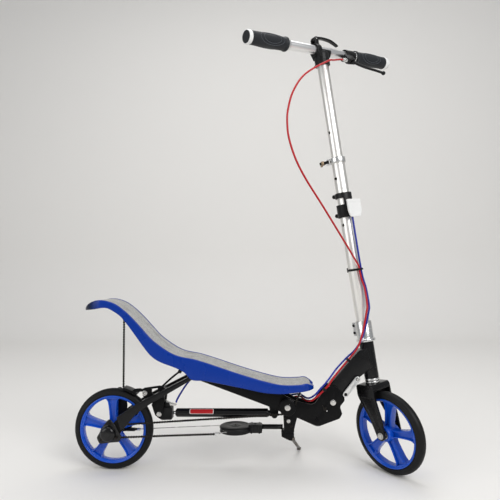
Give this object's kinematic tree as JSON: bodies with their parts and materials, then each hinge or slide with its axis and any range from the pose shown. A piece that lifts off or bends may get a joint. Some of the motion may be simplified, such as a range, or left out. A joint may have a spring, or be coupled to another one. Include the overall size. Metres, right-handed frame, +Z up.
{
  "type": "pump scooter",
  "caption": "Two-wheeled folding scooter driven by a rocking teeter deck through chains, with a lockable gas strut, rear brake, side stand, folding column and adjustable handlebar.",
  "frame": {"origin": "middle of the bounding box on the floor, standing on both wheels and the side stand", "axes": "+X forwards along the frame, +Y to the rider's left, +Z up"},
  "size_m": [0.8484, 0.3762, 1.0861],
  "materials": {
    "black_frame": "satin",
    "steel": "satin",
    "black_plastic": "satin",
    "chain": "oiled",
    "red_cable": "gloss",
    "blue_cable": "gloss",
    "blue_rim": "gloss",
    "tyre": "matte",
    "blue_deck": "gloss",
    "deck_grip": "rough",
    "black_cylinder": "gloss painted",
    "black_tube": "satin painted",
    "silver_alloy": "satin",
    "column": "polished",
    "white": "gloss",
    "chrome": "polished",
    "rubber": "matte"
  },
  "bodies": {
    "scooter": {"rear_frame": "black_frame", "rear_axle": "steel", "deck_axle": "steel", "hub_cover_right": "black_plastic", "hub_cover_left": "black_plastic", "chain_guide": "black_plastic", "side_plate_right": "black_frame", "side_plate_left": "black_frame", "front_bracket": "black_frame", "guide_cover": "black_plastic", "right_chain": "chain", "left_chain": "chain", "return_cable": "steel", "pulley_housing": "black_plastic", "fold_bolt": "steel", "brake_cable_rear": "red_cable", "lock_cable_rear": "blue_cable"},
    "rear_wheel": {"rear_rim": "blue_rim", "rear_tyre": "tyre"},
    "right_sprocket_hub": {"right_sprocket": "steel"},
    "left_sprocket_hub": {"left_sprocket": "steel"},
    "guide_hub": {"guide_wheel": "steel"},
    "pulley_hub": {"cable_pulley": "steel"},
    "deck": {"deck_shell": "blue_deck", "grip_mat": "deck_grip", "deck_frame": "black_frame", "front_chain": "chain", "left_chain_rise": "chain"},
    "strut": {"gas_rod": "black_frame"},
    "release": {"release_lever": "black_plastic"},
    "strut_slide": {"gas_cylinder": "black_cylinder"},
    "brake": {"brake_arm": "black_plastic"},
    "stand": {"kickstand_leg": "steel"},
    "fold": {"head_tube": "black_tube", "headset_ring": "silver_alloy", "down_tube": "black_tube", "brake_cable_mid": "red_cable", "lock_cable_mid": "blue_cable"},
    "latch": {"latch_link": "steel"},
    "steering": {"fork": "black_tube", "front_axle": "steel", "lower_column": "column", "clamp_collar": "silver_alloy", "zip_tie": "black_plastic", "lock_clamp": "black_plastic", "height_collar": "silver_alloy"},
    "front_wheel": {"front_rim": "blue_rim", "front_tyre": "tyre"},
    "lock": {"lock_lever": "white"},
    "collar": {"collar_lever": "black_plastic"},
    "button": {"snap_button": "chrome"},
    "height": {"upper_column": "column", "stem_clamp": "black_tube", "handlebar": "column", "grip_right": "rubber", "grip_left": "rubber", "brake_lever_body": "black_tube", "brake_cable_upper": "red_cable"},
    "quick": {"stem_lever": "black_plastic"},
    "lever": {"brake_lever": "black_tube"}
  },
  "joints": [
    {"name": "rear_wheel_spin", "type": "hinge", "parent": "scooter", "child": "rear_wheel", "pos_m": [-0.32417, -0.04769, 0.09981], "axis": [0, 0.9981, -0.061], "continuous": true},
    {"name": "front_wheel_spin", "type": "hinge", "parent": "steering", "child": "front_wheel", "pos_m": [0.35568, -0.06933, 0.09979], "axis": [0.7647, 0.6412, 0.0644], "continuous": true},
    {"name": "deck_rock", "type": "hinge", "parent": "scooter", "child": "deck", "pos_m": [-0.10917, -0.03877, 0.24554], "axis": [0, -0.9981, 0.061], "range_deg": [0, 20], "deforming": ["front_chain", "left_chain_rise"]},
    {"name": "right_sprocket_spin", "type": "hinge", "parent": "scooter", "child": "right_sprocket_hub", "pos_m": [-0.32417, -0.07863, 0.10171], "axis": [0, 0.9981, -0.061], "range_deg": [0, 341.99]},
    {"name": "left_sprocket_spin", "type": "hinge", "parent": "scooter", "child": "left_sprocket_hub", "pos_m": [-0.32417, -0.01674, 0.09792], "axis": [0, 0.9981, -0.061], "range_deg": [-292.9, 0]},
    {"name": "guide_wheel_spin", "type": "hinge", "parent": "scooter", "child": "guide_hub", "pos_m": [0.11183, -0.07484, 0.16359], "axis": [0, 0.9981, -0.061], "range_deg": [-285.02, 0]},
    {"name": "cable_pulley_spin", "type": "hinge", "parent": "scooter", "child": "pulley_hub", "pos_m": [-0.01717, -0.04769, 0.09981], "axis": [0, 0.061, 0.9981], "range_deg": [-155.54, 0]},
    {"name": "strut_swing", "type": "hinge", "parent": "scooter", "child": "strut", "pos_m": [-0.20617, -0.0453, 0.13874], "axis": [0, -0.9981, 0.061], "range_deg": [0, 13]},
    {"name": "strut_extend", "type": "slide", "parent": "strut", "child": "strut_slide", "axis": [1, 0, 0], "range_m": [0, 0.0336]},
    {"name": "release_lever_tip", "type": "hinge", "parent": "strut", "child": "release", "pos_m": [-0.18817, -0.04399, 0.1602], "axis": [0, 0.9981, -0.061], "range_deg": [0, 8.2]},
    {"name": "brake_arm_press", "type": "hinge", "parent": "scooter", "child": "brake", "pos_m": [-0.24037, -0.04208, 0.19144], "axis": [0, -0.9981, 0.061], "range_deg": [0, 1.35]},
    {"name": "stand_fold", "type": "hinge", "parent": "scooter", "child": "stand", "pos_m": [0.12383, -0.02668, 0.06647], "axis": [0, 0.5168, 0.8561], "range_deg": [0, 98.8]},
    {"name": "column_fold", "type": "hinge", "parent": "scooter", "child": "fold", "pos_m": [0.22233, -0.04341, 0.16968], "axis": [0, 0.9981, -0.061], "range_deg": [-55, 0]},
    {"name": "latch_swing", "type": "hinge", "parent": "fold", "child": "latch", "pos_m": [0.28183, -0.06595, 0.22717], "axis": [0, 0.9981, -0.061], "range_deg": [0, 50]},
    {"name": "steering_turn", "type": "hinge", "parent": "fold", "child": "steering", "pos_m": [0.32048, -0.03999, 0.22567], "axis": [-0.134, 0.0605, 0.9891], "range_deg": [-9.5, 110.5], "deforming": ["brake_cable_mid", "lock_cable_mid"]},
    {"name": "bar_height", "type": "slide", "parent": "steering", "child": "height", "axis": [-0.134, 0.0605, 0.9891], "range_m": [-0.118, 0], "deforming": ["brake_cable_upper"]},
    {"name": "snap_button_press", "type": "slide", "parent": "steering", "child": "button", "axis": [0.7647, 0.6412, 0.0644], "range_m": [0, 0.003], "stiffness_N_per_m": 800, "springref_m": -0.001},
    {"name": "collar_lever_open", "type": "hinge", "parent": "steering", "child": "collar", "pos_m": [0.22233, -0.00113, 0.76149], "axis": [-0.134, 0.0605, 0.9891], "range_deg": [-80, 0]},
    {"name": "lock_lever_tip", "type": "hinge", "parent": "steering", "child": "lock", "pos_m": [0.27755, -0.03261, 0.66221], "axis": [-0.7647, -0.6412, -0.0644], "range_deg": [0, 25]},
    {"name": "brake_lever_pull", "type": "hinge", "parent": "height", "child": "lever", "pos_m": [0.29198, 0.05301, 1.03603], "axis": [0.4476, -0.6003, 0.6628], "range_deg": [0, 15], "stiffness_Nm_per_rad": 1, "springref_deg": -5.73},
    {"name": "stem_lever_open", "type": "hinge", "parent": "height", "child": "quick", "pos_m": [0.19345, 0.00198, 1.07433], "axis": [0.6303, -0.765, 0.1322], "range_deg": [0, 90]}
  ],
  "couplings": [
    {"joint": "strut_swing", "follows": "deck_rock", "ratio": 0.6435},
    {"joint": "strut_extend", "follows": "deck_rock", "m_per_rad": 0.09511},
    {"joint": "right_sprocket_spin", "follows": "deck_rock", "ratio": 16.93},
    {"joint": "left_sprocket_spin", "follows": "deck_rock", "ratio": -14.5},
    {"joint": "guide_wheel_spin", "follows": "deck_rock", "ratio": -14.11},
    {"joint": "cable_pulley_spin", "follows": "deck_rock", "ratio": -7.7},
    {"joint": "brake_arm_press", "follows": "brake_lever_pull", "ratio": 0.0867},
    {"joint": "release_lever_tip", "follows": "lock_lever_tip", "ratio": 0.32}
  ]
}
